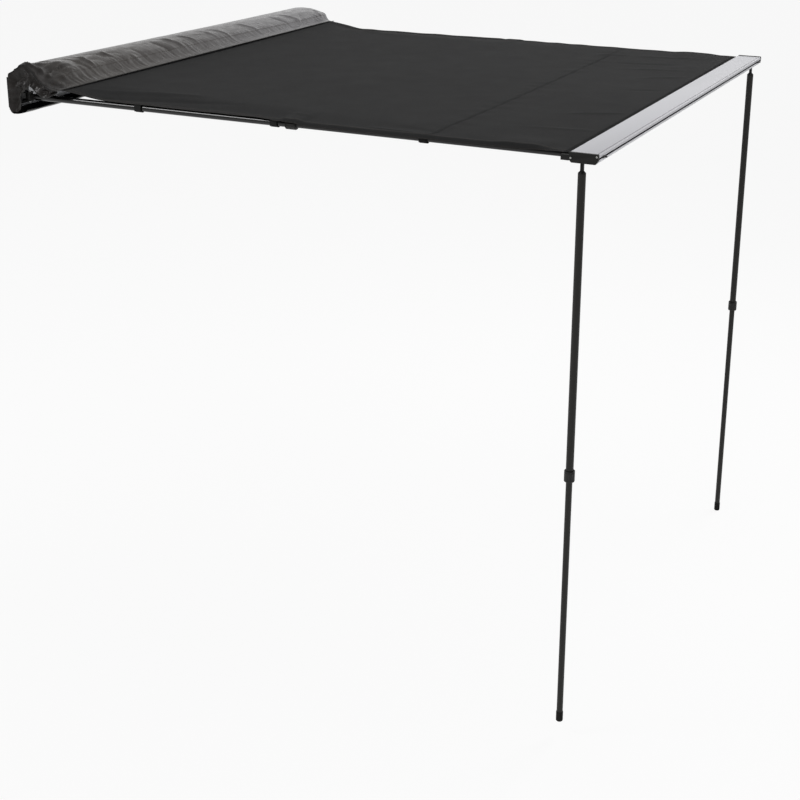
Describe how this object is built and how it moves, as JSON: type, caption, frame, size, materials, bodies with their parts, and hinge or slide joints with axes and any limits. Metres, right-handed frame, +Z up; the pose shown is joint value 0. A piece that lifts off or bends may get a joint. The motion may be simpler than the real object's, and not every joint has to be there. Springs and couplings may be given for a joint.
{
  "type": "rear vehicle awning",
  "caption": "Pull-out vehicle awning: aluminium backboard with an open travel bag, side arms that telescope and swing, a front rail, folding telescopic legs and a fabric canopy.",
  "frame": {"origin": "middle of the backboard's mounting face", "axes": "+X from the near side to the far side along the rails, +Y toward the vehicle, +Z up"},
  "size_m": [2.0104, 2.2271, 2.1449],
  "materials": {
    "anodised_aluminium": "satin silver anodised extrusion with fine lines along its length",
    "black_tube": "black anodised aluminium, satin",
    "black_plastic": "moulded black nylon, lightly textured",
    "rubber": "black rubber",
    "steel": "plain zinc-plated or stainless steel",
    "canopy_cloth": "charcoal ripstop canvas, matt",
    "bag_vinyl": "coated vinyl cloth, creased and slightly glossy",
    "strap_webbing": "black hook-and-loop webbing"
  },
  "bodies": {
    "backboard_group": {"backboard": "anodised_aluminium", "backboard_cap_near": "black_plastic", "backboard_cap_far": "black_plastic", "travel_bag": "bag_vinyl", "arm_bracket_near": "black_tube", "arm_pivot_rivet_near": "steel", "arm_bracket_bolt_near": "steel", "arm_bracket_far": "black_tube", "arm_pivot_rivet_far": "steel", "arm_bracket_bolt_far": "steel", "canopy": "canopy_cloth", "canopy_strap_near_1": "strap_webbing", "canopy_strap_near_2": "strap_webbing", "canopy_strap_near_3": "strap_webbing", "canopy_strap_far_1": "strap_webbing", "canopy_strap_far_2": "strap_webbing", "canopy_strap_far_3": "strap_webbing"},
    "front_rail_group": {"front_rail": "anodised_aluminium", "rail_cap_near": "black_plastic", "rail_cap_screw_front_near": "steel", "rail_cap_screw_rear_near": "steel", "leg_block_near": "black_plastic", "leg_pivot_pin_near": "steel", "guy_loop_near": "steel", "rail_cap_far": "black_plastic", "rail_cap_screw_front_far": "steel", "rail_cap_screw_rear_far": "steel", "leg_block_far": "black_plastic", "leg_pivot_pin_far": "steel", "guy_loop_far": "steel"},
    "arm_near": {"arm_knuckle_near": "black_plastic", "arm_outer_tube_near": "black_tube", "arm_ferrule_near": "black_plastic"},
    "arm_lock_near": {"arm_lock_collar_near": "black_plastic"},
    "arm_inner_near": {"arm_inner_tube_near": "black_tube", "arm_bush_near": "black_plastic", "arm_tip_near": "black_plastic"},
    "leg_near": {"leg_neck_near": "black_plastic", "leg_upper_tube_near": "black_tube", "leg_ferrule_near": "black_plastic"},
    "leg_lock_near": {"leg_lock_collar_near": "black_plastic"},
    "leg_lower_near": {"leg_lower_tube_near": "black_tube", "leg_bush_near": "black_plastic", "leg_foot_near": "rubber"},
    "arm_far": {"arm_knuckle_far": "black_plastic", "arm_outer_tube_far": "black_tube", "arm_ferrule_far": "black_plastic"},
    "arm_lock_far": {"arm_lock_collar_far": "black_plastic"},
    "arm_inner_far": {"arm_inner_tube_far": "black_tube", "arm_bush_far": "black_plastic", "arm_tip_far": "black_plastic"},
    "leg_far": {"leg_neck_far": "black_plastic", "leg_upper_tube_far": "black_tube", "leg_ferrule_far": "black_plastic"},
    "leg_lock_far": {"leg_lock_collar_far": "black_plastic"},
    "leg_lower_far": {"leg_lower_tube_far": "black_tube", "leg_bush_far": "black_plastic", "leg_foot_far": "rubber"}
  },
  "joints": [
    {"name": "rail_slide", "type": "slide", "parent": "backboard_group", "child": "front_rail_group", "axis": [0, 1, 0], "range_m": [0, 0.88], "deforming": ["canopy", "canopy_strap_near_1", "canopy_strap_near_2", "canopy_strap_near_3", "canopy_strap_far_1", "canopy_strap_far_2", "canopy_strap_far_3"]},
    {"name": "arm_swing_near", "type": "hinge", "parent": "backboard_group", "child": "arm_near", "pos_m": [-0.955, -0.06, -0.016], "axis": [0.0192, 0, 0.9998], "range_deg": [0, 90]},
    {"name": "arm_slide_near", "type": "slide", "parent": "arm_near", "child": "arm_inner_near", "axis": [0, 1, 0], "range_m": [0, 0.88]},
    {"name": "arm_lock_turn_near", "type": "hinge", "parent": "arm_near", "child": "arm_lock_near", "pos_m": [-0.955, -1.147, -0.016], "axis": [0, 1, 0], "range_deg": [0, 90]},
    {"name": "leg_fold_near", "type": "hinge", "parent": "front_rail_group", "child": "leg_near", "pos_m": [-0.96, -2.1535, -0.016], "axis": [0, -1, 0], "range_deg": [0, 88.5]},
    {"name": "leg_slide_near", "type": "slide", "parent": "leg_near", "child": "leg_lower_near", "axis": [0, 0, 1], "range_m": [-0.056, 0.84]},
    {"name": "leg_lock_turn_near", "type": "hinge", "parent": "leg_near", "child": "leg_lock_near", "pos_m": [-0.96, -2.1535, -1.065], "axis": [0, 0, 1], "range_deg": [0, 90]},
    {"name": "arm_swing_far", "type": "hinge", "parent": "backboard_group", "child": "arm_far", "pos_m": [0.955, -0.06, -0.016], "axis": [0.0192, 0, -0.9998], "range_deg": [0, 87]},
    {"name": "arm_slide_far", "type": "slide", "parent": "arm_far", "child": "arm_inner_far", "axis": [0, 1, 0], "range_m": [0, 0.88]},
    {"name": "arm_lock_turn_far", "type": "hinge", "parent": "arm_far", "child": "arm_lock_far", "pos_m": [0.955, -1.147, -0.016], "axis": [0, 1, 0], "range_deg": [0, 90]},
    {"name": "leg_fold_far", "type": "hinge", "parent": "front_rail_group", "child": "leg_far", "pos_m": [0.96, -2.1865, -0.016], "axis": [0, 1, 0], "range_deg": [0, 88.5]},
    {"name": "leg_slide_far", "type": "slide", "parent": "leg_far", "child": "leg_lower_far", "axis": [0, 0, 1], "range_m": [0, 0.896]},
    {"name": "leg_lock_turn_far", "type": "hinge", "parent": "leg_far", "child": "leg_lock_far", "pos_m": [0.96, -2.1865, -1.065], "axis": [0, 0, 1], "range_deg": [0, 90]}
  ],
  "couplings": [
    {"joint": "arm_slide_near", "follows": "rail_slide", "ratio": 1},
    {"joint": "arm_slide_far", "follows": "rail_slide", "ratio": 1}
  ]
}
